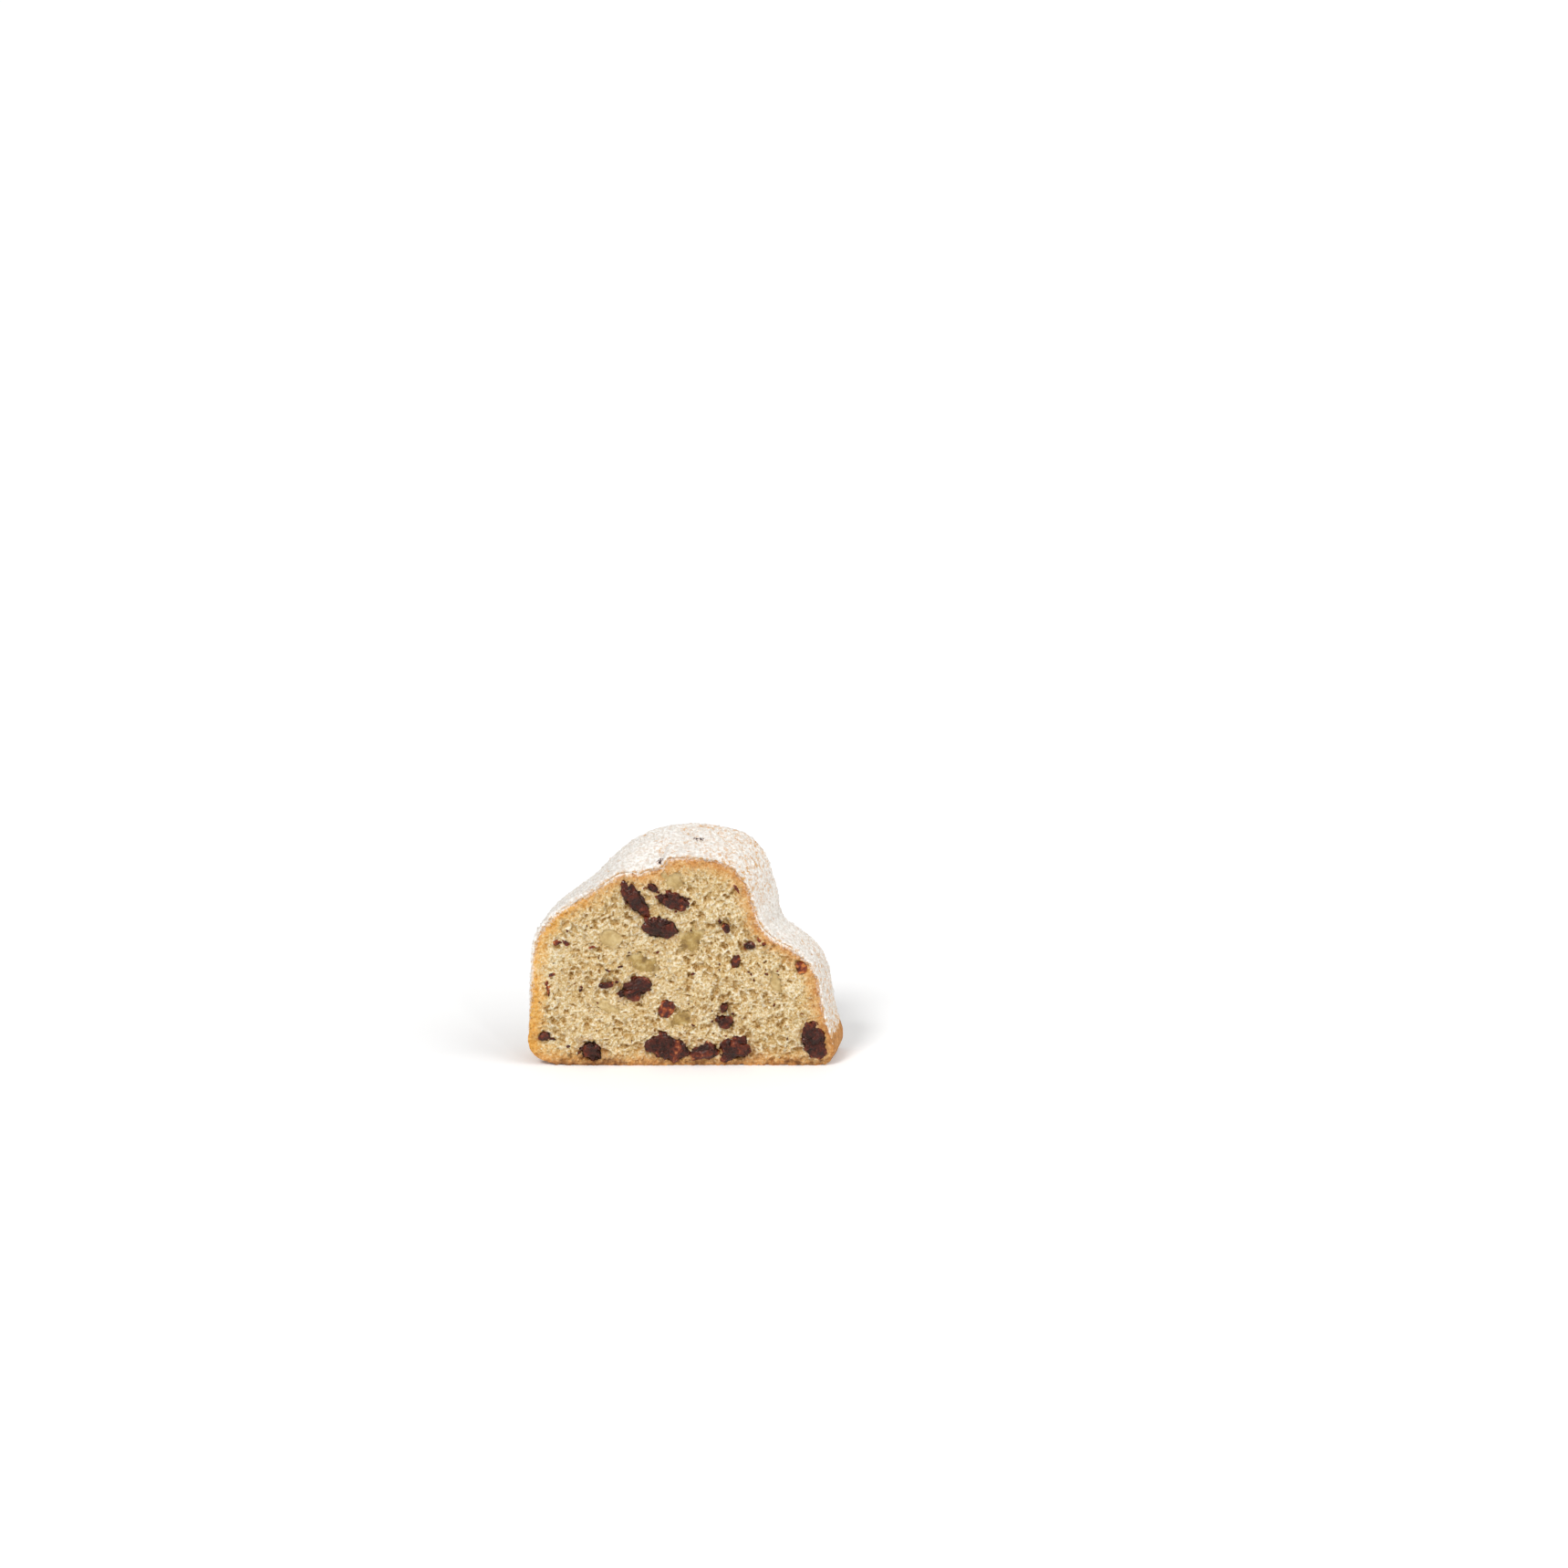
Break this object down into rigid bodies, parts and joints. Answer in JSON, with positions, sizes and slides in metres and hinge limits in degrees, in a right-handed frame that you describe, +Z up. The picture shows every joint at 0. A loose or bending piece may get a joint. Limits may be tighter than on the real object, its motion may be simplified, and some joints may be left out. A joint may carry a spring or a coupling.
{
  "type": "stollen slice",
  "caption": "Thick slice of stollen that stands on its base: a humped fruit loaf with a side fold, cut through dried and candied fruit and nuts, under a coat of icing sugar.",
  "frame": {"origin": "under the middle of the slice, on the surface that its crust stands on", "axes": "+X to the right across the cut face, towards the side fold; +Y from the front cut to the back cut; +Z up"},
  "size_m": [0.1014, 0.02, 0.0763],
  "materials": {
    "crumb": "matte",
    "icing_sugar": "matte",
    "raisin": "satin",
    "almond": "satin",
    "orange_peel": "gloss",
    "citron": "gloss"
  },
  "bodies": {
    "root": {"crumb_and_crust": "crumb", "sugar_coat": "icing_sugar", "raisin_front_01": "raisin", "raisin_front_02": "raisin", "raisin_front_03": "raisin", "raisin_front_04": "raisin", "raisin_front_05": "raisin", "raisin_front_06": "raisin", "raisin_front_07": "raisin", "raisin_front_08": "raisin", "raisin_front_09": "raisin", "raisin_front_10": "raisin", "raisin_front_11": "raisin", "raisin_front_12": "raisin", "raisin_front_13": "raisin", "raisin_front_14": "raisin", "raisin_front_15": "raisin", "raisin_front_16": "raisin", "raisin_back_01": "raisin", "raisin_back_02": "raisin", "raisin_back_03": "raisin", "raisin_back_04": "raisin", "raisin_back_05": "raisin", "raisin_back_06": "raisin", "raisin_back_07": "raisin", "raisin_back_08": "raisin", "raisin_top_01": "raisin", "raisin_top_02": "raisin", "almond_front_01": "almond", "almond_front_02": "almond", "almond_front_03": "almond", "almond_front_04": "almond", "almond_back_01": "almond", "almond_back_02": "almond", "almond_back_03": "almond", "orange_peel_front_01": "orange_peel", "orange_peel_front_02": "orange_peel", "orange_peel_front_03": "orange_peel", "orange_peel_back_01": "orange_peel", "orange_peel_back_02": "orange_peel", "citron_front_01": "citron", "citron_front_02": "citron", "citron_front_03": "citron", "citron_back_01": "citron", "citron_back_02": "citron"}
  },
  "joints": []
}
